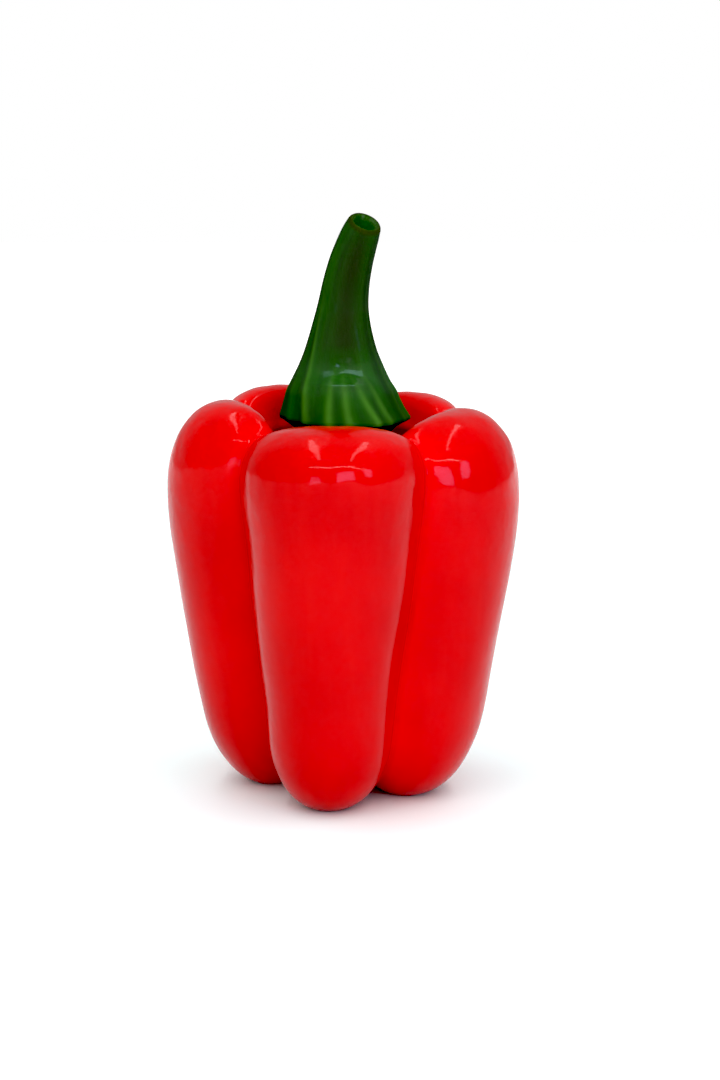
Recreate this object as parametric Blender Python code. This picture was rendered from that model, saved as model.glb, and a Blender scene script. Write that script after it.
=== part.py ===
"""A five-lobed bell pepper as picked, standing on the tips of its lobes, with its calyx and stem on.

Metres, +Z up. The origin is under the middle of the pod, on the surface that the pepper stands on.
An azimuth is 0 at the front (-Y) and grows towards the right (+X).
"""

import math

import bpy
import numpy as np

MM = 0.001

# Pod: each lobe is a pile of circles whose radius and distance from the axis follow its height.
POD_TOP = 91.2 * MM
STATION_HEIGHTS = np.array([0.0, 23.5, 47.0, 70.5, 86.5]) * MM
FRONT_RADII = np.array([12.5, 14.5, 17.3, 19.9, 21.8]) * MM
FRONT_DISTANCES = np.array([20.0, 20.9, 21.9, 22.3, 23.4]) * MM
OTHER_RADII = np.array([12.4, 14.8, 15.1, 17.4, 19.3]) * MM
OTHER_DISTANCES = np.array([15.6, 18.0, 21.5, 21.8, 18.4]) * MM
SHOULDER_START = 69.4 * MM
TIP_START = 18.9 * MM
SHOULDER_SQUARENESS = 3.1
TIP_SQUARENESS = 2.35
# Each lobe in turn, the front one first: azimuth at the top and how much it turns towards the tip, share of
# the common radius, how much further it is from the axis, how much higher its shoulder is, and how far its
# tip is off the ground.
LOBES = (
    {"azimuth": -5.2, "turn": -4.6, "size": 1.0, "out": 0.0, "rise": -2.6 * MM, "lift": 0.0},
    {"azimuth": 73.0, "turn": -11.2, "size": 1.07, "out": 0.75 * MM, "rise": -0.5 * MM, "lift": 0.0},
    {"azimuth": 140.9, "turn": -6.0, "size": 0.98, "out": 0.0, "rise": 1.1 * MM, "lift": 0.0},
    {"azimuth": 218.6, "turn": -8.0, "size": 1.0, "out": 0.0, "rise": 2.6 * MM, "lift": 0.6 * MM},
    {"azimuth": 282.1, "turn": -17.1, "size": 0.98, "out": 1.7 * MM, "rise": 1.2 * MM, "lift": 0.0},
)
CORE_RADIUS = 13.2 * MM
CORE_MIDDLE = 45.0 * MM
CORE_HALF_HEIGHT = 38.0 * MM

# Furrows between the lobes: a soft crease with a narrow trough along it, deeper where it enters the hollow.
FURROW_SOFTNESS = 0.9 * MM
FURROW_DEPTH = 0.35 * MM
FURROW_WIDTH = 0.9 * MM
NOTCH_DEPTH = 4.0 * MM
NOTCH_WIDTH = 5.0 * MM
NOTCH_RADIUS = 16.5 * MM
NOTCH_REACH = 4.0 * MM
NOTCH_START = 74.0 * MM
NOTCH_FULL = 82.0 * MM

# Hollow round the stem, and the flat bed in it that the stem stands on.
HOLLOW_RADIUS = 19.7 * MM
HOLLOW_RIM = 87.2 * MM
BED_HEIGHT = 79.0 * MM
HOLLOW_BELOW_BED = 0.4 * MM
HOLLOW_SQUARENESS = 2.5
SHOULDER_SOFTNESS = 2.4 * MM

# Mesh of the pod: rays that start inside it and whose lengths are found by halving. The start moves from
# the core out into the shoulder while the ray swings from straight down (0) over level (90) to up and inwards.
POD_COLUMNS_PER_LOBE = 16
POD_RINGS = 44
RAY_SHARES = (0.0, 0.35, 0.62, 1.0)
TURNING_SHARES = (0.1, 0.62)
RAY_ANGLES = np.radians([3.0, 50.0, 120.0, 236.0])
RAY_START_RADII = np.array([0.0, 0.0, 21.0, 21.0]) * MM
RAY_START_HEIGHTS = np.array([44.0, 44.0, 70.0, 70.0]) * MM
RAY_LONGEST = 60.0 * MM
HALVINGS = 30
GROOVE_CROWDING = 0.45
FLAT_DEPTH = 0.5 * MM

# Stem from the calyx's rim up to the cut: its centre line (x, y, z) and its radius.
STEM_LINE = np.array(
    [
        (0.3, 0.0, 88.0, 14.1),
        (-0.1, 0.0, 89.75, 13.3),
        (-0.35, 0.0, 91.6, 12.65),
        (-0.5, 0.0, 93.5, 12.05),
        (-0.65, 0.0, 95.6, 10.95),
        (-0.6, 0.0, 98.9, 9.5),
        (-0.6, 0.0, 102.5, 8.15),
        (-0.45, -0.2, 107.5, 6.8),
        (-0.05, -0.7, 112.5, 5.8),
        (0.65, -1.7, 117.5, 5.3),
        (1.65, -3.1, 122.0, 4.95),
        (2.8, -4.7, 125.7, 4.6),
        (3.75, -6.1, 128.4, 4.3),
        (4.6, -7.4, 130.5, 3.9),
    ]
) * MM
LEVEL_BELOW = 96.0 * MM
SQUARE_ABOVE = 116.0 * MM
STEM_COLUMNS = 90
STEM_RINGS = 25

# Under its rim the calyx runs in to a narrow foot: radius, and height above the foot.
SEAT_GAP = 0.3 * MM
FOOT_PROFILE = np.array([(7.4, 0.0), (8.2, 0.8), (9.4, 3.0), (11.5, 5.7), (13.3, 7.4), (14.05, 8.1)]) * MM
TOOTH_AZIMUTHS = np.radians([-84.0, -28.0, 33.0, 92.0, 152.0, 213.0])
TOOTH_WIDTH = math.radians(20.0)
TOOTH_REACH = 0.6 * MM
TOOTH_DROOP = 0.5 * MM
TOOTH_FADE = 6.0 * MM
RIM_NOD = 0.7 * MM
RIM_NOD_AZIMUTH = math.radians(30.0)

# Ridges that climb the calyx: azimuth at the rim and at the upper end in degrees, how far up the ridge
# reaches and how much it stands out there in millimetres.
RIDGES = np.array(
    [
        (-84.0, -86.0, 16.0, 0.35),
        (-61.0, -70.0, 11.0, 0.25),
        (-37.0, -60.0, 31.0, 0.45),
        (-14.0, -10.0, 10.0, 0.5),
        (4.0, 3.0, 10.0, 0.5),
        (30.0, 15.0, 9.0, 0.5),
        (44.0, 31.0, 10.0, 0.45),
        (68.0, 62.0, 24.0, 0.3),
        (91.0, 90.0, 12.0, 0.35),
        (113.0, 118.0, 28.0, 0.35),
        (134.0, 136.0, 11.0, 0.3),
        (153.0, 158.0, 26.0, 0.4),
        (172.0, 172.0, 10.0, 0.3),
        (193.0, 190.0, 30.0, 0.4),
        (214.0, 212.0, 12.0, 0.35),
        (235.0, 231.0, 25.0, 0.35),
        (256.0, 255.0, 12.0, 0.3),
    ]
)
RIDGE_WIDTH = math.radians(4.5)

# Ledge across the front of the calyx, and the flute that goes up the neck from it.
LEDGE_HEIGHT = 95.4 * MM
LEDGE_AZIMUTH = math.radians(7.0)
LEDGE_WIDTH = math.radians(22.0)
LEDGE_DEPTH = 1.1 * MM
LEDGE_REACH = 0.55 * MM
FLUTE_DEPTH = 2.2 * MM
FLUTE_WIDTH = math.radians(20.0)
FLUTE_HEIGHTS = np.array([95.4, 97.6, 102.0, 108.0, 116.0, 124.0]) * MM
FLUTE_SHARES = np.array([0.0, 1.0, 0.62, 0.26, 0.08, 0.0])

# Cut end: share of the last radius, and distance along the stem past its last ring.
CUT_PROFILE = ((0.96, 0.45), (0.88, 0.85), (0.77, 0.95), (0.66, 0.6), (0.5, -0.35), (0.26, -0.95))
CUT_FLOOR = -1.05


def through(place, places, values):
    """A smooth curve through stations: a cubic between neighbours that leaves each with one slope."""
    slopes = np.gradient(values, places, axis=0)
    place = np.clip(place, places[0], places[-1])
    low = np.clip(np.searchsorted(places, place, side="right") - 1, 0, len(places) - 2)
    span = places[low + 1] - places[low]
    t = (place - places[low]) / span
    return (
        (1 + 2 * t) * (1 - t) ** 2 * values[low]
        + t * (1 - t) ** 2 * span * slopes[low]
        + t * t * (3 - 2 * t) * values[low + 1]
        + t * t * (t - 1) * span * slopes[low + 1]
    )


def soft_least(fields, softness):
    """The least of several fields, with the crease between them filled in softly."""
    least = fields.min(axis=0)
    return least - softness * np.log(np.exp((least - fields) / softness).sum(axis=0))


def lobe_field(x, y, z, lobe):
    """Roughly the distance outside one lobe, below zero inside it."""
    front = lobe is LOBES[0]
    height = (z - lobe["lift"]) * POD_TOP / (POD_TOP + lobe["rise"] - lobe["lift"])
    radius = lobe["size"] * through(height, STATION_HEIGHTS, FRONT_RADII if front else OTHER_RADII)
    distance = lobe["out"] + through(height, STATION_HEIGHTS, FRONT_DISTANCES if front else OTHER_DISTANCES)
    azimuth = np.radians(lobe["azimuth"] + lobe["turn"] * (1 - height / POD_TOP))
    outward = x * np.sin(azimuth) - y * np.cos(azimuth)
    sideways = x * np.cos(azimuth) + y * np.sin(azimuth)
    across = np.hypot(outward - distance, sideways) / radius
    above = np.clip((height - SHOULDER_START) / (POD_TOP - SHOULDER_START), 0, None)
    below = np.clip((TIP_START - height) / TIP_START, 0, None)
    power = np.where(above > 0, SHOULDER_SQUARENESS, TIP_SQUARENESS)
    return ((across**power + np.maximum(above, below) ** power) ** (1 / power) - 1) * radius


def hollow_field(x, y, z):
    """Below zero in the bowl round the stem, which the bed cuts off flat."""
    depth = HOLLOW_RIM - BED_HEIGHT + HOLLOW_BELOW_BED
    across = (np.hypot(x, y) / HOLLOW_RADIUS) ** HOLLOW_SQUARENESS
    down = (np.abs(HOLLOW_RIM - z) / depth) ** HOLLOW_SQUARENESS
    bowl = ((across + down) ** (1 / HOLLOW_SQUARENESS) - 1) * depth
    return np.maximum(bowl, BED_HEIGHT - z)


def pod_field(x, y, z):
    """Below zero inside the pod: lobes and core melted together, less the furrows and the hollow."""
    lobes = np.stack([lobe_field(x, y, z, lobe) for lobe in LOBES])
    core = (np.hypot(np.hypot(x, y) / CORE_RADIUS, (z - CORE_MIDDLE) / CORE_HALF_HEIGHT) - 1) * CORE_RADIUS
    solid = soft_least(np.concatenate([lobes, core[None]]), FURROW_SOFTNESS)
    nearest, next_nearest = np.partition(lobes, 1, axis=0)[:2]
    apart = next_nearest - nearest
    solid = solid + FURROW_DEPTH * np.exp(-((apart / FURROW_WIDTH) ** 2))
    notch = np.clip((z - NOTCH_START) / (NOTCH_FULL - NOTCH_START), 0, 1)
    notch = notch * np.exp(-(((np.hypot(x, y) - NOTCH_RADIUS) / NOTCH_REACH) ** 2))
    solid = solid + NOTCH_DEPTH * notch * np.exp(-((apart / NOTCH_WIDTH) ** 2))
    return -soft_least(np.stack([-solid, hollow_field(x, y, z)]), SHOULDER_SOFTNESS)


def pod_azimuths(down):
    """Azimuths of one ring's columns, which turn with the lobes and crowd towards the grooves.

    down is 0 at the shoulders and 1 at the tips.
    """
    middles = np.radians([lobe["azimuth"] + lobe["turn"] * down for lobe in LOBES])
    following = np.append(middles[1:], middles[0] + math.tau)
    share = np.arange(POD_COLUMNS_PER_LOBE) / POD_COLUMNS_PER_LOBE
    eased = share + GROOVE_CROWDING * np.sin(math.tau * share) / math.tau
    return np.concatenate([start + (end - start) * eased for start, end in zip(middles, following)])


def pod_rings():
    """Points of the pod's surface, ring by ring from the recess below to the bed above."""
    shares = np.linspace(0, 1, POD_RINGS)
    azimuth = np.array([pod_azimuths(down) for down in np.interp(shares, TURNING_SHARES, (1, 0))])
    share = np.broadcast_to(shares[:, None], azimuth.shape)
    angle = np.interp(share, RAY_SHARES, RAY_ANGLES)
    start_radius = np.interp(share, RAY_SHARES, RAY_START_RADII)
    start_height = np.interp(share, RAY_SHARES, RAY_START_HEIGHTS)

    def point(length):
        radius = start_radius + length * np.sin(angle)
        return radius * np.sin(azimuth), -radius * np.cos(azimuth), start_height - length * np.cos(angle)

    near = np.zeros_like(azimuth)
    far = np.full_like(azimuth, RAY_LONGEST)
    for _ in range(HALVINGS):
        middle = (near + far) / 2
        inside = pod_field(*point(middle)) < 0
        near = np.where(inside, middle, near)
        far = np.where(inside, far, middle)
    return np.stack(point(near), axis=-1)


def bumps(azimuth, middles, heights, width):
    """A row of rounded ridges round the stem."""
    apart = azimuth[:, None] - middles
    return (heights * np.exp((np.cos(apart) - 1) / width**2)).sum(axis=1)


def ridges_at(z):
    """Azimuths of the ridges at height z, and how much of each is left there."""
    foot, head, reach = RIDGES[:, 0], RIDGES[:, 1], RIDGES[:, 2] * MM
    up = max(z - STEM_LINE[0, 2], 0.0) / reach
    return np.radians(foot + (head - foot) * np.clip(up, 0, 1)), np.exp(-1.5 * up**2)


def stem_relief(azimuth, z):
    """How far teeth, ridges and the ledge stand out from the stem's radius on the ring at height z."""
    up = max(z - STEM_LINE[0, 2], 0.0)
    middles, left = ridges_at(z)
    relief = bumps(azimuth, middles, RIDGES[:, 3] * MM * left, RIDGE_WIDTH)
    relief += TOOTH_REACH * teeth(azimuth) * math.exp(-up / TOOTH_FADE)
    ledge = LEDGE_REACH * math.exp(-(((z - LEDGE_HEIGHT) / LEDGE_DEPTH) ** 2))
    relief += ledge * np.exp((np.cos(azimuth - LEDGE_AZIMUTH) - 1) / LEDGE_WIDTH**2)
    flute = FLUTE_DEPTH * through(np.array(z), FLUTE_HEIGHTS, FLUTE_SHARES)
    return relief - flute * np.exp((np.cos(azimuth - LEDGE_AZIMUTH) - 1) / FLUTE_WIDTH**2)


def teeth(azimuth):
    """About 1 at the tip of each of the calyx's blunt teeth and 0 between them."""
    return bumps(azimuth, TOOTH_AZIMUTHS, 1.0, TOOTH_WIDTH)


def stem_rings():
    """Points of the stem's surface: from its foot out to the calyx's rim, up to the cut and into it."""
    azimuth = math.tau * np.arange(STEM_COLUMNS) / STEM_COLUMNS
    spoke = np.stack([np.sin(azimuth), -np.cos(azimuth), np.zeros_like(azimuth)], axis=-1)
    droop = TOOTH_DROOP * teeth(azimuth) + RIM_NOD * np.cos(azimuth - RIM_NOD_AZIMUTH)
    rim = STEM_LINE[0]
    foot = BED_HEIGHT + SEAT_GAP
    rings = []
    for radius, height in FOOT_PROFILE:
        spread = (radius - FOOT_PROFILE[0, 0]) / (rim[3] - FOOT_PROFILE[0, 0])
        reach = radius + spread**3 * stem_relief(azimuth, rim[2])
        ring = spoke * reach[:, None] + (rim[0] * spread, rim[1] * spread, foot + height)
        ring[:, 2] -= droop * spread**3
        rings.append(ring)

    stations = np.arange(len(STEM_LINE), dtype=float)
    for place in np.linspace(0, stations[-1], STEM_RINGS):
        x, y, z, radius = through(place, stations, STEM_LINE)
        slope = through(place + 0.01, stations, STEM_LINE)[:3] - through(place - 0.01, stations, STEM_LINE)[:3]
        square = np.clip((z - LEVEL_BELOW) / (SQUARE_ABOVE - LEVEL_BELOW), 0, 1)
        along = slope / np.linalg.norm(slope) * square + np.array([0.0, 0.0, 1.0]) * (1 - square)
        along /= np.linalg.norm(along)
        front = np.array([0.0, -1.0, 0.0]) + along * along[1]
        front /= np.linalg.norm(front)
        right = np.cross(along, front)
        turned = np.outer(np.cos(azimuth), front) + np.outer(np.sin(azimuth), right)
        ring = (radius + stem_relief(azimuth, z))[:, None] * turned
        ring[:, 2] -= droop * math.exp(-2 * (z - rim[2]) / TOOTH_FADE)
        rings.append(ring + (x, y, z))
    end = np.array([x, y, z])
    for share, past in CUT_PROFILE:
        rings.append(end + share * ring + along * past * MM)
    return np.array(rings), end + along * CUT_FLOOR * MM


def closed_mesh(name, rings, below, above):
    """A mesh through rings of points, closed by one point at each end."""
    count, columns = rings.shape[:2]
    points = [tuple(below)] + [tuple(point) for point in rings.reshape(-1, 3)] + [tuple(above)]
    last = len(points) - 1
    faces = []
    for j in range(columns):
        k = (j + 1) % columns
        faces.append((0, 1 + k, 1 + j))
        faces.append((last, last - columns + j, last - columns + k))
        for i in range(count - 1):
            low = 1 + i * columns
            high = low + columns
            faces.append((low + j, low + k, high + k, high + j))
    mesh = bpy.data.meshes.new(name)
    mesh.from_pydata(points, [], faces)
    mesh.shade_smooth()
    mesh.set_sharp_from_angle(angle=math.radians(50))
    return mesh


def material(name, colour, roughness, coat):
    """A plain finish in one colour under a clear coat."""
    made = bpy.data.materials.new(name)
    made.use_nodes = True
    shader = made.node_tree.nodes["Principled BSDF"]
    shader.inputs["Base Color"].default_value = (*colour, 1.0)
    shader.inputs["Roughness"].default_value = roughness
    shader.inputs["Metallic"].default_value = 0.0
    shader.inputs["Coat Weight"].default_value = coat
    return made


def add_piece(name, rings, below, above, finish):
    """One named object for one piece."""
    mesh = closed_mesh(name, rings, below, above)
    mesh.materials.append(finish)
    piece = bpy.data.objects.new(name, mesh)
    bpy.context.scene.collection.objects.link(piece)
    return piece


def main():
    for old in list(bpy.data.objects):
        bpy.data.objects.remove(old)

    pod = pod_rings()
    pod[..., 2] = np.maximum(pod[..., 2], FLAT_DEPTH)
    low = pod.min(axis=(0, 1))
    high = pod.max(axis=(0, 1))
    origin = np.array([(low[0] + high[0]) / 2, (low[1] + high[1]) / 2, FLAT_DEPTH])
    recess = np.array([0.0, 0.0, pod[0, :, 2].mean()])
    bed = np.array([0.0, 0.0, BED_HEIGHT])
    stem, cut_floor = stem_rings()
    foot = np.array([0.0, 0.0, BED_HEIGHT + SEAT_GAP])

    red = material("red_skin", (0.72, 0.006, 0.004), 0.22, 0.6)
    green = material("green_stem", (0.03, 0.13, 0.012), 0.35, 0.3)
    add_piece("fruit", pod - origin, recess - origin, bed - origin, red)
    add_piece("stem", stem - origin, foot - origin, cut_floor - origin, green)


main()
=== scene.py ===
"""Looks of the bell pepper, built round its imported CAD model.

The pod and the stem are made again from the CAD's formulas, with a finer mesh and with the low relief that
the CAD leaves out. Metres, +Z up. An azimuth is 0 at the front (-Y) and grows towards the right (+X).
"""

import math

import bpy
import numpy as np
from mathutils import Matrix, Vector


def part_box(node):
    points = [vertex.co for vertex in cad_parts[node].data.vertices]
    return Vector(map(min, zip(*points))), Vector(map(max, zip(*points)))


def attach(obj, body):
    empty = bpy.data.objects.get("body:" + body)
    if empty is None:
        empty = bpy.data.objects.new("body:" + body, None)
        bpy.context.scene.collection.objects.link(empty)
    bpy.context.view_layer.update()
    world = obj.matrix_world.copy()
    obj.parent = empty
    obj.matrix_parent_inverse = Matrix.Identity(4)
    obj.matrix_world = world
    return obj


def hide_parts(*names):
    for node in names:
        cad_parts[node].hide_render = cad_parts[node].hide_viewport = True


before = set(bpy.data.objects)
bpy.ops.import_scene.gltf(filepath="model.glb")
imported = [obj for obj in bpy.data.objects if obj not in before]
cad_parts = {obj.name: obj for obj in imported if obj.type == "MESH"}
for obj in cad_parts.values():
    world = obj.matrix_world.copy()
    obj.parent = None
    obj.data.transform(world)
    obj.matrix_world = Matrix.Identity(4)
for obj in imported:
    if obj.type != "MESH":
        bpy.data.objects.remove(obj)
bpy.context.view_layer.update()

MM = 0.001

# Pod: each lobe is a pile of circles whose radius and distance from the axis follow its height.
POD_TOP = 91.2 * MM
STATION_HEIGHTS = np.array([0.0, 23.5, 47.0, 70.5, 86.5]) * MM
FRONT_RADII = np.array([12.5, 14.5, 17.3, 19.9, 21.8]) * MM
FRONT_DISTANCES = np.array([20.0, 20.9, 21.9, 22.3, 23.4]) * MM
OTHER_RADII = np.array([12.4, 14.8, 15.1, 17.4, 19.3]) * MM
OTHER_DISTANCES = np.array([15.6, 18.0, 21.5, 21.8, 18.4]) * MM
SHOULDER_START = 69.4 * MM
TIP_START = 18.9 * MM
SHOULDER_SQUARENESS = 3.1
TIP_SQUARENESS = 2.35
# Each lobe in turn, the front one first: azimuth at the top and how much it turns towards the tip, share of
# the common radius, how much further it is from the axis, how much higher its shoulder is, and how far its
# tip is off the ground.
LOBES = (
    {"azimuth": -5.2, "turn": -4.6, "size": 1.0, "out": 0.0, "rise": -2.6 * MM, "lift": 0.0},
    {"azimuth": 73.0, "turn": -11.2, "size": 1.07, "out": 0.75 * MM, "rise": -0.5 * MM, "lift": 0.0},
    {"azimuth": 140.9, "turn": -6.0, "size": 0.98, "out": 0.0, "rise": 1.1 * MM, "lift": 0.0},
    {"azimuth": 218.6, "turn": -8.0, "size": 1.0, "out": 0.0, "rise": 2.6 * MM, "lift": 0.6 * MM},
    {"azimuth": 282.1, "turn": -17.1, "size": 0.98, "out": 1.7 * MM, "rise": 1.2 * MM, "lift": 0.0},
)
CORE_RADIUS = 13.2 * MM
CORE_MIDDLE = 45.0 * MM
CORE_HALF_HEIGHT = 38.0 * MM

# Furrows between the lobes: a soft crease with a narrow trough along it, deeper where it enters the hollow.
FURROW_SOFTNESS = 0.9 * MM
FURROW_DEPTH = 0.35 * MM
FURROW_WIDTH = 0.9 * MM
NOTCH_DEPTH = 4.0 * MM
NOTCH_WIDTH = 5.0 * MM
NOTCH_RADIUS = 16.5 * MM
NOTCH_REACH = 4.0 * MM
NOTCH_START = 74.0 * MM
NOTCH_FULL = 82.0 * MM

# Hollow round the stem, and the flat bed in it that the stem stands on.
HOLLOW_RADIUS = 19.7 * MM
HOLLOW_RIM = 87.2 * MM
BED_HEIGHT = 79.0 * MM
HOLLOW_BELOW_BED = 0.4 * MM
HOLLOW_SQUARENESS = 2.5
SHOULDER_SOFTNESS = 2.4 * MM

# Mesh of the pod: rays that start inside it and whose lengths are found by halving. The start moves from the
# core out into the shoulder while the ray swings from straight down (0) over level (90) to up and inwards.
POD_COLUMNS_PER_LOBE = 70
POD_RINGS = 236
RAY_SHARES = (0.0, 0.35, 0.62, 1.0)
TURNING_SHARES = (0.1, 0.62)
RAY_ANGLES = np.radians([3.0, 50.0, 120.0, 236.0])
RAY_START_RADII = np.array([0.0, 0.0, 21.0, 21.0]) * MM
RAY_START_HEIGHTS = np.array([44.0, 44.0, 70.0, 70.0]) * MM
RAY_LONGEST = 60.0 * MM
HALVINGS = 30
GROOVE_CROWDING = 0.45
FLAT_DEPTH = 0.5 * MM

# Stem from the calyx's rim up to the cut: its centre line (x, y, z) and its radius.
STEM_LINE = np.array(
    [
        (0.3, 0.0, 88.0, 14.1),
        (-0.1, 0.0, 89.75, 13.3),
        (-0.35, 0.0, 91.6, 12.65),
        (-0.5, 0.0, 93.5, 12.05),
        (-0.65, 0.0, 95.6, 10.95),
        (-0.6, 0.0, 98.9, 9.5),
        (-0.6, 0.0, 102.5, 8.15),
        (-0.45, -0.2, 107.5, 6.8),
        (-0.05, -0.7, 112.5, 5.8),
        (0.65, -1.7, 117.5, 5.3),
        (1.65, -3.1, 122.0, 4.95),
        (2.8, -4.7, 125.7, 4.6),
        (3.75, -6.1, 128.4, 4.3),
        (4.6, -7.4, 130.5, 3.9),
    ]
) * MM
LEVEL_BELOW = 96.0 * MM
SQUARE_ABOVE = 116.0 * MM
STEM_COLUMNS = 320
STEM_RINGS = 190

# Under its rim the calyx runs in to a narrow foot: radius, and height above the foot.
SEAT_GAP = 0.3 * MM
FOOT_PROFILE = np.array([(7.4, 0.0), (8.2, 0.8), (9.4, 3.0), (11.5, 5.7), (13.3, 7.4), (14.05, 8.1)]) * MM
TOOTH_AZIMUTHS = np.radians([-84.0, -28.0, 33.0, 92.0, 152.0, 213.0])
TOOTH_WIDTH = math.radians(20.0)
TOOTH_REACH = 0.6 * MM
TOOTH_DROOP = 0.5 * MM
TOOTH_FADE = 6.0 * MM
RIM_NOD = 0.7 * MM
RIM_NOD_AZIMUTH = math.radians(30.0)

# Ridges that climb the calyx: azimuth at the rim and at the upper end in degrees, how far up the ridge
# reaches and how much it stands out there in millimetres.
RIDGES = np.array(
    [
        (-84.0, -86.0, 16.0, 0.35),
        (-61.0, -70.0, 11.0, 0.25),
        (-37.0, -60.0, 31.0, 0.45),
        (-14.0, -10.0, 10.0, 0.5),
        (4.0, 3.0, 10.0, 0.5),
        (30.0, 15.0, 9.0, 0.5),
        (44.0, 31.0, 10.0, 0.45),
        (68.0, 62.0, 24.0, 0.3),
        (91.0, 90.0, 12.0, 0.35),
        (113.0, 118.0, 28.0, 0.35),
        (134.0, 136.0, 11.0, 0.3),
        (153.0, 158.0, 26.0, 0.4),
        (172.0, 172.0, 10.0, 0.3),
        (193.0, 190.0, 30.0, 0.4),
        (214.0, 212.0, 12.0, 0.35),
        (235.0, 231.0, 25.0, 0.35),
        (256.0, 255.0, 12.0, 0.3),
    ]
)
RIDGE_WIDTH = math.radians(4.5)

# Ledge across the front of the calyx, and the flute that goes up the neck from it.
LEDGE_HEIGHT = 95.4 * MM
LEDGE_AZIMUTH = math.radians(7.0)
LEDGE_WIDTH = math.radians(22.0)
LEDGE_DEPTH = 1.1 * MM
LEDGE_REACH = 0.55 * MM
FLUTE_DEPTH = 2.2 * MM
FLUTE_WIDTH = math.radians(20.0)
FLUTE_HEIGHTS = np.array([95.4, 97.6, 102.0, 108.0, 116.0, 124.0]) * MM
FLUTE_SHARES = np.array([0.0, 1.0, 0.62, 0.26, 0.08, 0.0])

# Cut end: share of the last radius, and distance along the stem past its last ring.
CUT_PROFILE = ((0.96, 0.45), (0.88, 0.85), (0.77, 0.95), (0.66, 0.6), (0.5, -0.35), (0.26, -0.95))
CUT_FLOOR = -1.05

# Unevenness of grown skin, all over and on the shoulders: height, number of swells, longest and shortest
# wave, and seed. It fades out above the ground that the tips rest on.
RIPPLE = (0.07 * MM, 30, 24.0 * MM, 13.0 * MM, 3)
SHOULDER_RIPPLE = (0.04 * MM, 40, 8.0 * MM, 4.0 * MM, 4)
SHOULDER_RIPPLE_START = 62.0 * MM
SHOULDER_RIPPLE_FADE = 16.0 * MM
RIPPLE_GROUND_FADE = 6.0 * MM

# Where the skin's colour changes: painted light along the furrows, which brightens the creases against their
# shade, the scar in the underside, and painted shade at the bottom of the hollow, which the calyx shades.
# The painted shade is a little weaker where the calyx no longer covers it.
PAINTED_LIGHT_FURROW_WIDTH = 4.0 * MM
SCAR_RADIUS = 2.6 * MM
SCAR_TOP = 30.0 * MM
SHADE_RADIUS = 19.4 * MM
SHADE_RADIUS_FADE = 1.0 * MM
SHADE_TOP = 85.5 * MM
SHADE_TOP_FADE = 1.5 * MM
SHADE_BOTTOM = 72.0 * MM
COVER_RADIUS = 14.5 * MM
COVER_FADE = 2.5 * MM
SHADE_LOST_OUTSIDE = 0.14

# Where the stem's colour and gloss change: shares at heights above the ground, and their width round it.
RIDGE_TINT_WIDTH = math.radians(2.6)
RIDGE_TINT_POWER = 2.5
NECK_HEIGHTS = np.array([97.0, 104.0, 124.0, 131.0]) * MM
NECK_SHARES = (0.0, 1.0, 1.0, 0.7)
NECK_WIDTH = math.radians(32.0)
GLOSS_HEIGHTS = np.array([92.0, 95.5, 99.5, 102.5, 107.0]) * MM
GLOSS_SHARES = (0.2, 1.0, 1.0, 0.25, 0.0)
GLOSS_WIDTH = math.radians(30.0)

# Shares of cut flesh, pith and brown edge on the stem's last rings, inwards into the cut.
CUT_SHARES = (0.0, 0.0, 0.1, 0.4, 1.0, 0.5, 0.0)
PITH_SHARES = (0.0, 0.0, 0.0, 0.0, 0.0, 0.7, 1.0)
EDGE_SHARES = (0.3, 0.9, 1.0, 0.8, 0.3, 0.0, 0.0)

# Radius of the cylinder that the noise of veins and fibres is drawn on.
SKIN_STRAND_RADIUS = 15.0 * MM
STEM_STRAND_RADIUS = 6.0 * MM

# Colours, as linear red, green and blue.
WHITE = (1.0, 1.0, 1.0)
BLACK = (0.0, 0.0, 0.0)
SKIN_DEEP = (0.48, 0.0138, 0.0138)
SKIN_BRIGHT = (0.53, 0.015, 0.0148)
SKIN_VEIN = (0.57, 0.02, 0.017)
# Painted light: a brighter red for the furrows, which lightens the creases against their shade.
SKIN_FURROW_PAINTED_LIGHT = (0.68, 0.014, 0.015)
# Painted shade: near-black red for the bottom of the hollow, under the calyx.
SKIN_PAINTED_SHADE = (0.03, 0.004, 0.002)
SKIN_SCAR = (0.11, 0.05, 0.015)
STEM_DARK = (0.03, 0.055, 0.026)
STEM_LIGHT = (0.034, 0.1, 0.025)
STEM_FIBRE = (0.044, 0.11, 0.024)
STEM_RIDGE = (0.07, 0.18, 0.034)
STEM_NECK = (0.034, 0.04, 0.024)
STEM_BLOTCH = (0.025, 0.055, 0.02)
CUT_EDGE = (0.036, 0.044, 0.014)
CUT_DARK = (0.03, 0.075, 0.018)
CUT_PALE = (0.06, 0.11, 0.04)
CUT_PITH = (0.022, 0.06, 0.012)
FLOOR_COOL = (0.96, 0.88, 0.88)
FLOOR_WARM = (0.97, 0.9, 0.9)
FLOOR_GLOW = (0.01, 0.26, 0.26)
FLOOR_FAR_GLOW = (0.64, 0.64, 0.64)
SKY_BLUE = (0.4, 0.55, 1.0)
SKY_TEAL = (0.5, 0.85, 0.95)

# Camera in the pod's own coordinates, with the photograph's perspective.
CAMERA_PLACE = (0.0, -455.6 * MM, 136.05 * MM)
CAMERA_PITCH = math.radians(9.676)
CAMERA_YAW = math.radians(0.472)
CAMERA_LENS = 66.47
CAMERA_SENSOR = 36.0

# Floor: half its width, and the distances over which it starts to glow by itself, which keeps it white.
FLOOR_HALF = 6.0
NEAR_GLOW = (0.0, 0.02)
FAR_GLOW = (0.3, 1.4)
OPEN_DISTANCE = 0.04

# Surroundings, which the camera sees as plain white: brightness for diffuse light and in the gloss.
DIFFUSE_LEVEL = 0.5
MIRRORED_LEVEL = 0.5
BLACK_LEVEL = 0.034

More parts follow.
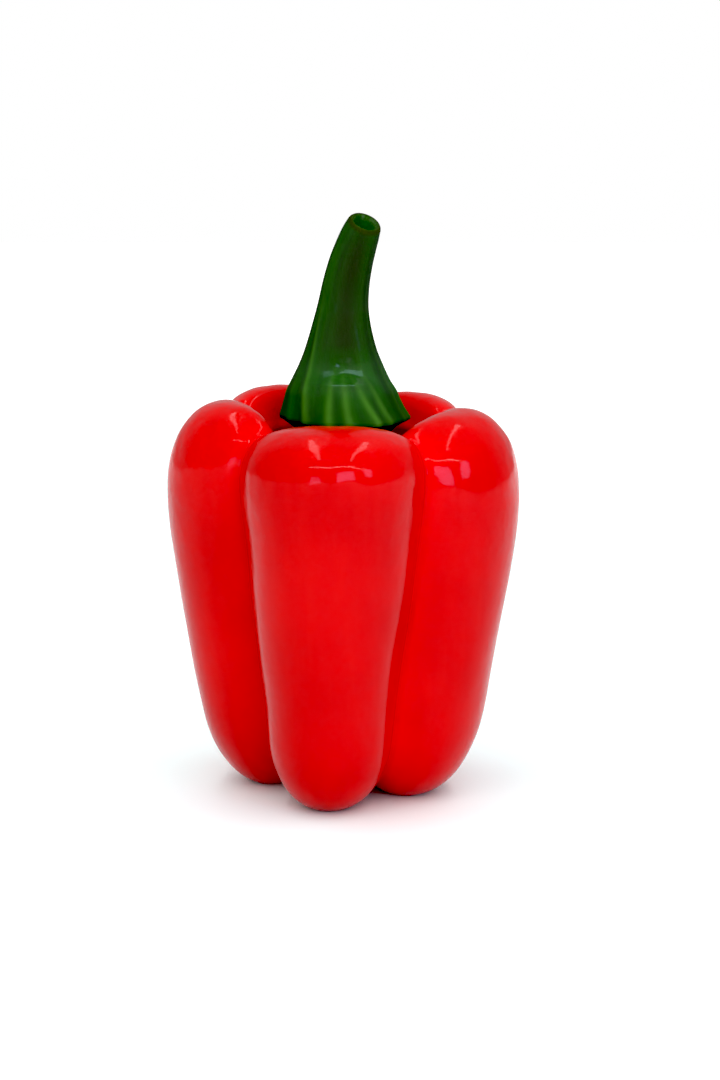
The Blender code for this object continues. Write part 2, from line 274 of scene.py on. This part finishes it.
# Overhead strips that face down: start and end seen from above, width and brightness.
STRIP_HEIGHT = 1.2
STRIPS = (
    ("strip_left", (-0.444, -1.08), (-0.24, 0.48), 0.11, 6.5),
    ("strip_right", (0.6, -1.14), (0.432, 0.48), 0.11, 6.5),
    ("strip_front", (-1.56, -2.1), (1.92, -2.1), 0.12, 18.0),
)
STRIPS_LIGHT = ("pepper_fruit", "floor")

# Lamps that face one point in the pepper: azimuth, elevation, distance, size, brightness, colour, whether
# the gloss mirrors it, and the objects it lights, or none named where it lights all.
LIT_POINT = (0.0, -0.03, 0.08)
LAMPS = (
    ("window_right", 15.0, 9.0, 1.2, (0.38, 0.34), 8.5, SKY_BLUE, True, ("pepper_fruit",)),
    ("window_far_right", 44.0, 15.0, 1.2, (0.22, 0.26), 8.5, SKY_BLUE, True, ()),
    ("window_left", -26.0, 0.0, 1.2, (0.25, 0.2), 5.0, SKY_BLUE, True, ()),
    ("skylight", 5.0, 66.0, 1.2, (0.7, 0.75), 2.6, SKY_TEAL, True, ("pepper_stem",)),
    ("softbox", 5.0, 50.0, 1.8, (1.6, 1.6), 3.15, WHITE, False, ("pepper_fruit", "pepper_stem")),
    ("ceiling", 0.0, 90.0, 2.5, (6.0, 6.0), 0.68, WHITE, False, ("floor",)),
)


def through(place, places, values):
    """A smooth curve through stations: a cubic between neighbours that leaves each with one slope."""
    slopes = np.gradient(values, places, axis=0)
    place = np.clip(place, places[0], places[-1])
    low = np.clip(np.searchsorted(places, place, side="right") - 1, 0, len(places) - 2)
    span = places[low + 1] - places[low]
    t = (place - places[low]) / span
    return (
        (1 + 2 * t) * (1 - t) ** 2 * values[low]
        + t * (1 - t) ** 2 * span * slopes[low]
        + t * t * (3 - 2 * t) * values[low + 1]
        + t * t * (t - 1) * span * slopes[low + 1]
    )


def soft_least(fields, softness):
    """The least of several fields, with the crease between them filled in softly."""
    least = fields.min(axis=0)
    return least - softness * np.log(np.exp((least - fields) / softness).sum(axis=0))


def lobe_field(x, y, z, lobe):
    """Roughly the distance outside one lobe, below zero inside it."""
    front = lobe is LOBES[0]
    height = (z - lobe["lift"]) * POD_TOP / (POD_TOP + lobe["rise"] - lobe["lift"])
    radius = lobe["size"] * through(height, STATION_HEIGHTS, FRONT_RADII if front else OTHER_RADII)
    distance = lobe["out"] + through(height, STATION_HEIGHTS, FRONT_DISTANCES if front else OTHER_DISTANCES)
    azimuth = np.radians(lobe["azimuth"] + lobe["turn"] * (1 - height / POD_TOP))
    outward = x * np.sin(azimuth) - y * np.cos(azimuth)
    sideways = x * np.cos(azimuth) + y * np.sin(azimuth)
    across = np.hypot(outward - distance, sideways) / radius
    above = np.clip((height - SHOULDER_START) / (POD_TOP - SHOULDER_START), 0, None)
    below = np.clip((TIP_START - height) / TIP_START, 0, None)
    power = np.where(above > 0, SHOULDER_SQUARENESS, TIP_SQUARENESS)
    return ((across**power + np.maximum(above, below) ** power) ** (1 / power) - 1) * radius


def hollow_field(x, y, z):
    """Below zero in the bowl round the stem, which the bed cuts off flat."""
    depth = HOLLOW_RIM - BED_HEIGHT + HOLLOW_BELOW_BED
    across = (np.hypot(x, y) / HOLLOW_RADIUS) ** HOLLOW_SQUARENESS
    down = (np.abs(HOLLOW_RIM - z) / depth) ** HOLLOW_SQUARENESS
    bowl = ((across + down) ** (1 / HOLLOW_SQUARENESS) - 1) * depth
    return np.maximum(bowl, BED_HEIGHT - z)


def pod_field(x, y, z):
    """Below zero inside the pod: lobes and core melted together, less the furrows and the hollow."""
    lobes = np.stack([lobe_field(x, y, z, lobe) for lobe in LOBES])
    core = (np.hypot(np.hypot(x, y) / CORE_RADIUS, (z - CORE_MIDDLE) / CORE_HALF_HEIGHT) - 1) * CORE_RADIUS
    solid = soft_least(np.concatenate([lobes, core[None]]), FURROW_SOFTNESS)
    nearest, next_nearest = np.partition(lobes, 1, axis=0)[:2]
    apart = next_nearest - nearest
    solid = solid + FURROW_DEPTH * np.exp(-((apart / FURROW_WIDTH) ** 2))
    notch = np.clip((z - NOTCH_START) / (NOTCH_FULL - NOTCH_START), 0, 1)
    notch = notch * np.exp(-(((np.hypot(x, y) - NOTCH_RADIUS) / NOTCH_REACH) ** 2))
    solid = solid + NOTCH_DEPTH * notch * np.exp(-((apart / NOTCH_WIDTH) ** 2))
    return -soft_least(np.stack([-solid, hollow_field(x, y, z)]), SHOULDER_SOFTNESS)


def pod_azimuths(down):
    """Azimuths of one ring's columns, which turn with the lobes and crowd towards the grooves.

    down is 0 at the shoulders and 1 at the tips.
    """
    middles = np.radians([lobe["azimuth"] + lobe["turn"] * down for lobe in LOBES])
    following = np.append(middles[1:], middles[0] + math.tau)
    share = np.arange(POD_COLUMNS_PER_LOBE) / POD_COLUMNS_PER_LOBE
    eased = share + GROOVE_CROWDING * np.sin(math.tau * share) / math.tau
    return np.concatenate([start + (end - start) * eased for start, end in zip(middles, following)])


def pod_rings():
    """Points of the pod's surface, ring by ring from the recess below to the bed above."""
    shares = np.linspace(0, 1, POD_RINGS)
    azimuth = np.array([pod_azimuths(down) for down in np.interp(shares, TURNING_SHARES, (1, 0))])
    share = np.broadcast_to(shares[:, None], azimuth.shape)
    angle = np.interp(share, RAY_SHARES, RAY_ANGLES)
    start_radius = np.interp(share, RAY_SHARES, RAY_START_RADII)
    start_height = np.interp(share, RAY_SHARES, RAY_START_HEIGHTS)

    def point(length):
        radius = start_radius + length * np.sin(angle)
        return radius * np.sin(azimuth), -radius * np.cos(azimuth), start_height - length * np.cos(angle)

    near = np.zeros_like(azimuth)
    far = np.full_like(azimuth, RAY_LONGEST)
    for _ in range(HALVINGS):
        middle = (near + far) / 2
        inside = pod_field(*point(middle)) < 0
        near = np.where(inside, middle, near)
        far = np.where(inside, far, middle)
    return np.stack(point(near), axis=-1)


def bumps(azimuth, middles, heights, width):
    """A row of rounded ridges round the stem."""
    apart = azimuth[:, None] - middles
    return (heights * np.exp((np.cos(apart) - 1) / width**2)).sum(axis=1)


def ridges_at(z):
    """Azimuths of the ridges at height z, and how much of each is left there."""
    foot, head, reach = RIDGES[:, 0], RIDGES[:, 1], RIDGES[:, 2] * MM
    up = max(z - STEM_LINE[0, 2], 0.0) / reach
    return np.radians(foot + (head - foot) * np.clip(up, 0, 1)), np.exp(-1.5 * up**2)


def stem_relief(azimuth, z):
    """How far teeth, ridges and the ledge stand out from the stem's radius on the ring at height z."""
    up = max(z - STEM_LINE[0, 2], 0.0)
    middles, left = ridges_at(z)
    relief = bumps(azimuth, middles, RIDGES[:, 3] * MM * left, RIDGE_WIDTH)
    relief += TOOTH_REACH * teeth(azimuth) * math.exp(-up / TOOTH_FADE)
    ledge = LEDGE_REACH * math.exp(-(((z - LEDGE_HEIGHT) / LEDGE_DEPTH) ** 2))
    relief += ledge * near_ledge(azimuth, LEDGE_WIDTH)
    flute = FLUTE_DEPTH * through(np.array(z), FLUTE_HEIGHTS, FLUTE_SHARES)
    return relief - flute * near_ledge(azimuth, FLUTE_WIDTH)


def near_ledge(azimuth, width):
    """1 at the middle of the ledge, falling away round the stem within a given width."""
    return np.exp((np.cos(azimuth - LEDGE_AZIMUTH) - 1) / width**2)


def teeth(azimuth):
    """About 1 at the tip of each of the calyx's blunt teeth and 0 between them."""
    return bumps(azimuth, TOOTH_AZIMUTHS, 1.0, TOOTH_WIDTH)


def stem_rings():
    """Points of the stem's surface: from its foot out to the calyx's rim, up to the cut and into it."""
    azimuth = math.tau * np.arange(STEM_COLUMNS) / STEM_COLUMNS
    spoke = np.stack([np.sin(azimuth), -np.cos(azimuth), np.zeros_like(azimuth)], axis=-1)
    droop = TOOTH_DROOP * teeth(azimuth) + RIM_NOD * np.cos(azimuth - RIM_NOD_AZIMUTH)
    rim = STEM_LINE[0]
    foot = BED_HEIGHT + SEAT_GAP
    rings = []
    for radius, height in FOOT_PROFILE:
        spread = (radius - FOOT_PROFILE[0, 0]) / (rim[3] - FOOT_PROFILE[0, 0])
        reach = radius + spread**3 * stem_relief(azimuth, rim[2])
        ring = spoke * reach[:, None] + (rim[0] * spread, rim[1] * spread, foot + height)
        ring[:, 2] -= droop * spread**3
        rings.append(ring)

    stations = np.arange(len(STEM_LINE), dtype=float)
    for place in np.linspace(0, stations[-1], STEM_RINGS):
        x, y, z, radius = through(place, stations, STEM_LINE)
        ahead, behind = (through(place + step, stations, STEM_LINE)[:3] for step in (0.01, -0.01))
        slope = ahead - behind
        square = np.clip((z - LEVEL_BELOW) / (SQUARE_ABOVE - LEVEL_BELOW), 0, 1)
        along = slope / np.linalg.norm(slope) * square + np.array([0.0, 0.0, 1.0]) * (1 - square)
        along /= np.linalg.norm(along)
        front = np.array([0.0, -1.0, 0.0]) + along * along[1]
        front /= np.linalg.norm(front)
        right = np.cross(along, front)
        turned = np.outer(np.cos(azimuth), front) + np.outer(np.sin(azimuth), right)
        ring = (radius + stem_relief(azimuth, z))[:, None] * turned
        ring[:, 2] -= droop * math.exp(-2 * (z - rim[2]) / TOOTH_FADE)
        rings.append(ring + (x, y, z))
    end = np.array([x, y, z])
    for share, past in CUT_PROFILE:
        rings.append(end + share * ring + along * past * MM)
    return np.array(rings), end + along * CUT_FLOOR * MM


def closed_mesh(name, rings, below, above):
    """A mesh through rings of points, closed by one point at each end."""
    count, columns = rings.shape[:2]
    points = [tuple(below)] + [tuple(point) for point in rings.reshape(-1, 3)] + [tuple(above)]
    last = len(points) - 1
    faces = []
    for j in range(columns):
        k = (j + 1) % columns
        faces.append((0, 1 + k, 1 + j))
        faces.append((last, last - columns + j, last - columns + k))
        for i in range(count - 1):
            low = 1 + i * columns
            high = low + columns
            faces.append((low + j, low + k, high + k, high + j))
    mesh = bpy.data.meshes.new(name)
    mesh.from_pydata(points, [], faces)
    mesh.shade_smooth()
    mesh.set_sharp_from_angle(angle=math.radians(50))
    return mesh


def add_piece(name, mesh, finish, node):
    """One dressed piece, which stands for a CAD node."""
    mesh.materials.append(finish)
    piece = bpy.data.objects.new(name, mesh)
    bpy.context.scene.collection.objects.link(piece)
    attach(piece, "root")
    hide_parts(node)


def add_attribute(mesh, name, first, values, last):
    """A number or a vector at each point of a closed mesh, for its material."""
    width = 3 if np.ndim(first) else 1
    kind = "FLOAT_VECTOR" if width == 3 else "FLOAT"
    field = "vector" if width == 3 else "value"
    parts = [np.reshape(part, (-1, width)) for part in (first, values, last)]
    numbers = np.concatenate(parts).astype(np.float32)
    mesh.attributes.new(name, kind, "POINT").data.foreach_set(field, numbers.ravel())


class Nodes:
    """A material's node tree, with short ways to add to it."""

    def __init__(self, name):
        self.made = bpy.data.materials.new(name)
        self.made.use_nodes = True
        self.tree = self.made.node_tree
        self.shader = self.tree.nodes["Principled BSDF"]

    def add(self, kind, **values):
        """A node with some of its own settings."""
        node = self.tree.nodes.new(kind)
        for key, value in values.items():
            setattr(node, key, value)
        return node

    def join(self, output, socket):
        """A link between two sockets."""
        self.tree.links.new(output, socket)

    def feed(self, **outputs):
        """Links into the shader's sockets, each named with _ for a space."""
        for key, output in outputs.items():
            self.join(output, self.shader.inputs[key.replace("_", " ")])

    def set(self, **values):
        """Numbers in the shader's sockets, each named with _ for a space."""
        for key, value in values.items():
            self.shader.inputs[key.replace("_", " ")].default_value = value

    def attribute(self, name, output="Fac"):
        """A value that the mesh carries."""
        return self.add("ShaderNodeAttribute", attribute_name=name).outputs[output]

    def stretched(self, vector, scale):
        """A vector scaled along each axis."""
        node = self.add("ShaderNodeMapping")
        node.inputs["Scale"].default_value = scale
        self.join(vector, node.inputs["Vector"])
        return node.outputs["Vector"]

    def height(self, vector):
        """A vector's third number."""
        node = self.add("ShaderNodeSeparateXYZ")
        self.join(vector, node.inputs["Vector"])
        return node.outputs["Z"]

    def noise(self, vector, scale, detail=3.0):
        """Cloudy noise with so many clouds in a metre."""
        node = self.add("ShaderNodeTexNoise")
        node.inputs["Scale"].default_value = scale
        node.inputs["Detail"].default_value = detail
        self.join(vector, node.inputs["Vector"])
        return node.outputs["Fac"]

    def span(self, value, low, high, to_low=0.0, to_high=1.0):
        """A smooth step from one number to another while a value goes from low to high."""
        node = self.add("ShaderNodeMapRange", interpolation_type="SMOOTHSTEP")
        numbers = {"From Min": low, "From Max": high, "To Min": to_low, "To Max": to_high}
        for socket, number in numbers.items():
            node.inputs[socket].default_value = number
        self.join(value, node.inputs["Value"])
        return node.outputs["Result"]

    def math(self, operation, first, second):
        """A sum or a product of two values."""
        node = self.add("ShaderNodeMath", operation=operation)
        for socket, value in zip(node.inputs, (first, second)):
            if isinstance(value, (int, float)):
                socket.default_value = value
            else:
                self.join(value, socket)
        return node.outputs["Value"]

    def blend(self, share, first, second):
        """The first colour where the share is 0 and the second where it is 1."""
        node = self.add("ShaderNodeMix", data_type="RGBA")
        self.join(share, node.inputs["Factor"])
        for socket, value in zip((node.inputs[6], node.inputs[7]), (first, second)):
            if isinstance(value, tuple):
                socket.default_value = (*value, 1.0)
            else:
                self.join(value, socket)
        return node.outputs[2]

    def bump(self, height, distance, before=None):
        """Fine relief, on top of what came before."""
        node = self.add("ShaderNodeBump")
        node.inputs["Distance"].default_value = distance
        self.join(height, node.inputs["Height"])
        if before:
            self.join(before, node.inputs["Normal"])
        return node.outputs["Normal"]


def skin_material():
    """Taut waxy red skin, mottled a little, veined faintly along the lobes, finely pored, with painted light
    in the furrows and painted shade in the hollow.
    """
    nodes = Nodes("red_skin")
    place = nodes.add("ShaderNodeTexCoord").outputs["Object"]
    strand = nodes.attribute("strand", "Vector")
    painted_furrow_light = nodes.attribute("painted_furrow_light")
    scar = nodes.attribute("scar")

    clouds = nodes.span(nodes.noise(place, 38.0), 0.35, 0.68)
    veins = nodes.span(nodes.noise(nodes.stretched(strand, (1.0, 1.0, 0.06)), 900.0), 0.4, 0.75)
    colour = nodes.blend(clouds, SKIN_DEEP, SKIN_BRIGHT)
    colour = nodes.blend(nodes.math("MULTIPLY", veins, 0.2), colour, SKIN_VEIN)
    # Painted light along the furrows, which lightens the creases.
    colour = nodes.blend(nodes.math("MULTIPLY", painted_furrow_light, 0.5), colour, SKIN_FURROW_PAINTED_LIGHT)
    # Painted shade at the bottom of the hollow, under the calyx.
    colour = nodes.blend(nodes.attribute("painted_shade"), colour, SKIN_PAINTED_SHADE)
    colour = nodes.blend(scar, colour, SKIN_SCAR)

    roughness = nodes.span(nodes.noise(place, 120.0), 0.3, 0.7, 0.19, 0.27)
    roughness = nodes.math("ADD", roughness, nodes.math("MULTIPLY", scar, 0.4))

    shoulder = nodes.span(nodes.height(place), 0.045, 0.065, 0.25, 1.0)
    dents = nodes.bump(nodes.math("MULTIPLY", nodes.noise(place, 260.0), shoulder), 0.35 * MM)
    pores = nodes.bump(nodes.noise(place, 1500.0, 2.0), 0.01 * MM, dents)

    nodes.feed(Base_Color=colour, Roughness=roughness, Normal=pores)
    nodes.set(
        Specular_IOR_Level=0.1,
        Specular_Tint=(1.0, 0.03, 0.03, 1.0),
        Coat_Weight=0.21,
        Coat_Roughness=0.05,
        Subsurface_Weight=0.3,
        Subsurface_Radius=(1.0, 0.15, 0.1),
        Subsurface_Scale=0.004,
    )
    return nodes.made


def stem_material():
    """Dark green stalk with lighter strands along it, browner up the neck, and a pale fibrous cut."""
    nodes = Nodes("green_stem")
    place = nodes.add("ShaderNodeTexCoord").outputs["Object"]
    strand = nodes.attribute("strand", "Vector")
    cut = nodes.attribute("cut")

    broad = nodes.span(nodes.noise(nodes.stretched(strand, (1.0, 1.0, 0.12)), 260.0), 0.38, 0.66)
    fine = nodes.span(nodes.noise(nodes.stretched(strand, (1.0, 1.0, 0.05)), 900.0), 0.42, 0.7)
    blotch = nodes.span(nodes.noise(place, 160.0), 0.4, 0.7)
    colour = nodes.blend(broad, STEM_DARK, STEM_LIGHT)
    colour = nodes.blend(nodes.math("MULTIPLY", fine, 0.2), colour, STEM_FIBRE)
    colour = nodes.blend(nodes.attribute("ridge"), colour, STEM_RIDGE)
    colour = nodes.blend(nodes.math("MULTIPLY", nodes.attribute("neck"), 0.9), colour, STEM_NECK)
    colour = nodes.blend(nodes.math("MULTIPLY", blotch, 0.2), colour, STEM_BLOTCH)
    colour = nodes.blend(nodes.attribute("edge"), colour, CUT_EDGE)
    flesh = nodes.blend(nodes.span(nodes.noise(place, 700.0), 0.4, 0.65), CUT_DARK, CUT_PALE)
    colour = nodes.blend(cut, colour, flesh)
    colour = nodes.blend(nodes.attribute("pith"), colour, CUT_PITH)

    roughness = nodes.span(nodes.noise(place, 300.0), 0.3, 0.7, 0.28, 0.42)
    roughness = nodes.math("ADD", roughness, nodes.math("MULTIPLY", cut, 0.35))

    wet = nodes.span(nodes.noise(place, 130.0, 2.0), 0.3, 0.55)
    wet = nodes.math("ADD", nodes.math("MULTIPLY", nodes.attribute("gloss"), wet), 0.06)
    wet = nodes.math("MULTIPLY", wet, 0.9)

    fibre = nodes.bump(fine, 0.06 * MM)
    grain = nodes.bump(nodes.noise(place, 900.0), 0.05 * MM, fibre)

    nodes.feed(Base_Color=colour, Roughness=roughness, Coat_Weight=wet, Normal=grain)
    nodes.set(
        Specular_IOR_Level=0.0,
        Coat_Roughness=0.12,
        Subsurface_Weight=0.06,
        Subsurface_Radius=(0.3, 1.0, 0.2),
        Subsurface_Scale=0.001,
    )
    return nodes.made


def floor_material():
    """Pale, cloudy a little, and with a glow of its own that evens out the pepper's red cast."""
    nodes = Nodes("pale_floor")
    place = nodes.add("ShaderNodeTexCoord").outputs["Object"]
    away = nodes.add("ShaderNodeVectorMath", operation="LENGTH")
    nodes.join(place, away.inputs[0])
    near, far = (nodes.span(away.outputs["Value"], *reach) for reach in (NEAR_GLOW, FAR_GLOW))
    open_sky = nodes.add("ShaderNodeAmbientOcclusion")
    open_sky.inputs["Distance"].default_value = OPEN_DISTANCE
    glow = nodes.blend(nodes.math("MULTIPLY", near, open_sky.outputs["AO"]), BLACK, FLOOR_GLOW)
    nodes.feed(
        Base_Color=nodes.blend(nodes.noise(place, 3.0, 2.0), FLOOR_COOL, FLOOR_WARM),
        Emission_Color=nodes.blend(far, glow, FLOOR_FAR_GLOW),
    )
    nodes.set(Roughness=0.6, Specular_IOR_Level=0.2, Emission_Strength=1.0)
    return nodes.made


def waves(points, height, count, longest, shortest, seed):
    """Soft random swells of about a given height, with wave lengths between two bounds."""
    draw = np.random.default_rng(seed)
    total = np.zeros(points.shape[:-1])
    for _ in range(count):
        way = draw.normal(size=3)
        way *= math.tau / (draw.uniform(shortest, longest) * np.linalg.norm(way))
        total += np.sin(points @ way + draw.uniform(0, math.tau))
    return height * total * math.sqrt(2 / count)


def rippled(rings):
    """The pod with the slight unevenness of grown skin, strongest on its shoulders."""
    across = np.roll(rings, -1, axis=1) - np.roll(rings, 1, axis=1)
    normal = np.cross(across, np.gradient(rings, axis=0))
    normal /= np.linalg.norm(normal, axis=-1, keepdims=True)
    shoulder = np.clip((rings[..., 2] - SHOULDER_RIPPLE_START) / SHOULDER_RIPPLE_FADE, 0, 1)
    swell = waves(rings, *RIPPLE) + shoulder * waves(rings, *SHOULDER_RIPPLE)
    swell *= np.clip(rings[..., 2] / RIPPLE_GROUND_FADE, 0, 1)
    return rings + normal * swell[..., None]


def skin_tints(x, y, z):
    """Where painted light along the furrows, the scar, and painted shade in the hollow under the calyx are.
    """
    lobes = np.stack([lobe_field(x, y, z, lobe) for lobe in LOBES])
    nearest, next_nearest = np.partition(lobes, 1, axis=0)[:2]
    # Painted light along the furrows, where the creases would lie in shade.
    painted_furrow_light = np.exp(-(((next_nearest - nearest) / PAINTED_LIGHT_FURROW_WIDTH) ** 2))
    out = np.hypot(x, y)
    scar = np.exp(-((out / SCAR_RADIUS) ** 4)) * (z < SCAR_TOP)
    # Painted shade: the bottom of the hollow under the calyx is coloured nearly black.
    shade = np.clip((SHADE_RADIUS - out) / SHADE_RADIUS_FADE, 0, 1)
    shade *= np.clip((SHADE_TOP - z) / SHADE_TOP_FADE, 0, 1) * (z > SHADE_BOTTOM)
    shade *= 1 - SHADE_LOST_OUTSIDE * np.clip((out - COVER_RADIUS) / COVER_FADE, 0, 1)
    return painted_furrow_light, scar, shade


def dress_fruit():
    """The pod, finer than the CAD's and in its place. Gives the frame's origin in the pod's coordinates."""
    rings = rippled(pod_rings())
    rings[..., 2] = np.maximum(rings[..., 2], FLAT_DEPTH)
    middle = (rings.min(axis=(0, 1)) + rings.max(axis=(0, 1))) / 2
    cad_low, cad_high = (np.array(corner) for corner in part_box("fruit"))
    origin = middle - (cad_low + cad_high) / 2
    origin[2] = FLAT_DEPTH
    x, y, z = np.moveaxis(rings, -1, 0)
    painted_furrow_light, scar, shade = skin_tints(x, y, z)
    azimuth = np.arctan2(x, -y)
    around = (SKIN_STRAND_RADIUS * np.sin(azimuth), SKIN_STRAND_RADIUS * np.cos(azimuth))
    strand = np.stack([*around, z], axis=-1)
    recess = np.array([0.0, 0.0, rings[0, :, 2].mean()])
    bed = np.array([0.0, 0.0, BED_HEIGHT])
    mesh = closed_mesh("pepper_fruit", rings - origin, recess - origin, bed - origin)
    # Painted light along the furrows.
    add_attribute(mesh, "painted_furrow_light", 0, painted_furrow_light, 0)
    add_attribute(mesh, "scar", 1, scar, 0)
    # Painted shade in the hollow under the calyx.
    add_attribute(mesh, "painted_shade", 0, shade, 1)
    add_attribute(mesh, "strand", (0, 0, 0), strand, (0, 0, BED_HEIGHT))
    add_piece("pepper_fruit", mesh, skin_material(), "fruit")
    return origin


def ridge_tint(azimuth, z):
    """How light the stem is along its ridges on the ring at height z."""
    middles, left = ridges_at(z)
    strength = (RIDGES[:, 3] / RIDGES[:, 3].max()) ** RIDGE_TINT_POWER
    return np.clip(bumps(azimuth, middles, strength * left, RIDGE_TINT_WIDTH), 0, 1)


def on_last_rings(shares, shape):
    """Values that are 0 but on the last rings, where each ring has its share."""
    values = np.zeros(shape)
    values[-len(shares) :] = np.array(shares)[:, None]
    return values


def dress_stem(origin):
    """The stem, finer than the CAD's and in its place."""
    rings, cut_floor = stem_rings()
    foot = np.array([0.0, 0.0, BED_HEIGHT + SEAT_GAP])
    azimuth = math.tau * np.arange(STEM_COLUMNS) / STEM_COLUMNS
    heights = rings[..., 2]
    steps = np.linalg.norm(np.diff(rings.mean(axis=1), axis=0), axis=1)
    along = np.append(0.0, np.cumsum(steps))
    around = (STEM_STRAND_RADIUS * np.sin(azimuth), STEM_STRAND_RADIUS * np.cos(azimuth))
    strand = np.stack(np.broadcast_arrays(*around, along[:, None]), axis=-1)
    ridge = np.array([ridge_tint(azimuth, z) for z in heights.mean(axis=1)])
    neck = near_ledge(azimuth, NECK_WIDTH) * np.interp(heights, NECK_HEIGHTS, NECK_SHARES)
    gloss = near_ledge(azimuth, GLOSS_WIDTH) * np.interp(heights, GLOSS_HEIGHTS, GLOSS_SHARES)
    mesh = closed_mesh("pepper_stem", rings - origin, foot - origin, cut_floor - origin)
    add_attribute(mesh, "ridge", 0, ridge, 0)
    add_attribute(mesh, "neck", 0, neck, 0)
    add_attribute(mesh, "gloss", 0, gloss, 0)
    add_attribute(mesh, "cut", 0, on_last_rings(CUT_SHARES, heights.shape), 0)
    add_attribute(mesh, "pith", 0, on_last_rings(PITH_SHARES, heights.shape), 1)
    add_attribute(mesh, "edge", 0, on_last_rings(EDGE_SHARES, heights.shape), 0)
    add_attribute(mesh, "strand", (0, 0, 0), strand, (0, 0, along[-1]))
    add_piece("pepper_stem", mesh, stem_material(), "stem")


def add_camera(origin):
    """The photograph's camera, with the pod's origin moved to the frame's."""
    level = math.cos(CAMERA_PITCH)
    ahead = Vector((math.sin(CAMERA_YAW) * level, math.cos(CAMERA_YAW) * level, -math.sin(CAMERA_PITCH)))
    right = Vector((math.cos(CAMERA_YAW), -math.sin(CAMERA_YAW), 0.0))
    up = right.cross(ahead)
    data = bpy.data.cameras.new("camera")
    data.lens = CAMERA_LENS
    data.sensor_width = CAMERA_SENSOR
    data.clip_start = 0.01
    data.clip_end = 50.0
    camera = bpy.data.objects.new("camera", data)
    turn = Matrix((right, up, -ahead)).transposed().to_4x4()
    camera.matrix_world = Matrix.Translation(Vector(CAMERA_PLACE) - Vector(origin)) @ turn
    bpy.context.scene.collection.objects.link(camera)
    bpy.context.scene.camera = camera


def add_floor():
    """A plain pale floor, which has no edge in view."""
    mesh = bpy.data.meshes.new("floor")
    corners = [(FLOOR_HALF * x, FLOOR_HALF * y, 0) for x, y in ((-1, -1), (1, -1), (1, 1), (-1, 1))]
    mesh.from_pydata(corners, [], [(0, 1, 2, 3)])
    mesh.materials.append(floor_material())
    floor = bpy.data.objects.new("floor", mesh)
    bpy.context.scene.collection.objects.link(floor)


def group(name, members):
    """A collection of the objects that a light is meant for, or nothing where it is meant for all."""
    if not members:
        return None
    made = bpy.data.collections.new(name)
    for member in members:
        made.objects.link(bpy.data.objects[member])
    return made


def add_area_light(name, size, radiance, colour, lit):
    """A rectangular lamp of a given brightness, which the camera doesn't see."""
    data = bpy.data.lights.new(name, "AREA")
    data.shape = "RECTANGLE"
    data.size, data.size_y = size
    data.energy = radiance * math.pi * size[0] * size[1]
    data.color = colour
    light = bpy.data.objects.new(name, data)
    light.visible_camera = False
    light.light_linking.receiver_collection = lit
    bpy.context.scene.collection.objects.link(light)
    return light


def add_lights():
    """Strips overhead, windows in front, and lamps of one piece's own."""
    below = group("lit_by_strips", STRIPS_LIGHT)
    for name, start, end, width, radiance in STRIPS:
        run = Vector(end) - Vector(start)
        light = add_area_light(name, (width, run.length), radiance, WHITE, below)
        light.location = (*(Vector(start) + run / 2), STRIP_HEIGHT)
        light.rotation_euler = (0.0, 0.0, math.atan2(-run.x, run.y))
    for name, azimuth, elevation, distance, size, radiance, colour, mirrored, lit in LAMPS:
        around = math.radians(azimuth)
        up = math.radians(elevation)
        out = Vector((math.sin(around) * math.cos(up), -math.cos(around) * math.cos(up), math.sin(up)))
        light = add_area_light(name, size, radiance, colour, group("lit_by_" + name, lit))
        light.location = Vector(LIT_POINT) + out * distance
        light.rotation_euler = out.to_track_quat("Z", "Y").to_euler()
        light.visible_glossy = mirrored


def add_surroundings():
    """White all round for the camera, dimmer for diffuse light and for what the gloss mirrors."""
    world = bpy.data.worlds.new("studio")
    world.use_nodes = True
    tree = world.node_tree
    background = tree.nodes["Background"]
    background.inputs["Color"].default_value = (*WHITE, 1.0)
    path = tree.nodes.new("ShaderNodeLightPath")
    product = tree.nodes.new("ShaderNodeMath")
    product.operation = "MULTIPLY"
    tree.links.new(product.outputs["Value"], background.inputs["Strength"])
    levels = (("Is Diffuse Ray", DIFFUSE_LEVEL), ("Is Glossy Ray", MIRRORED_LEVEL))
    for socket, (seen_by, level) in zip(product.inputs, levels):
        dim = tree.nodes.new("ShaderNodeMapRange")
        dim.inputs["To Min"].default_value = 1.0
        dim.inputs["To Max"].default_value = level
        tree.links.new(path.outputs[seen_by], dim.inputs["Value"])
        tree.links.new(dim.outputs["Result"], socket)
    bpy.context.scene.world = world


def set_view():
    """Plain colours, with the deepest tones taken down to black as in the photograph."""
    view = bpy.context.scene.view_settings
    view.view_transform = "Standard"
    view.use_curve_mapping = True
    view.curve_mapping.black_level = (BLACK_LEVEL,) * 3
    view.curve_mapping.update()


pod_origin = dress_fruit()
dress_stem(pod_origin)
add_camera(pod_origin)
add_floor()
add_surroundings()
add_lights()
set_view()
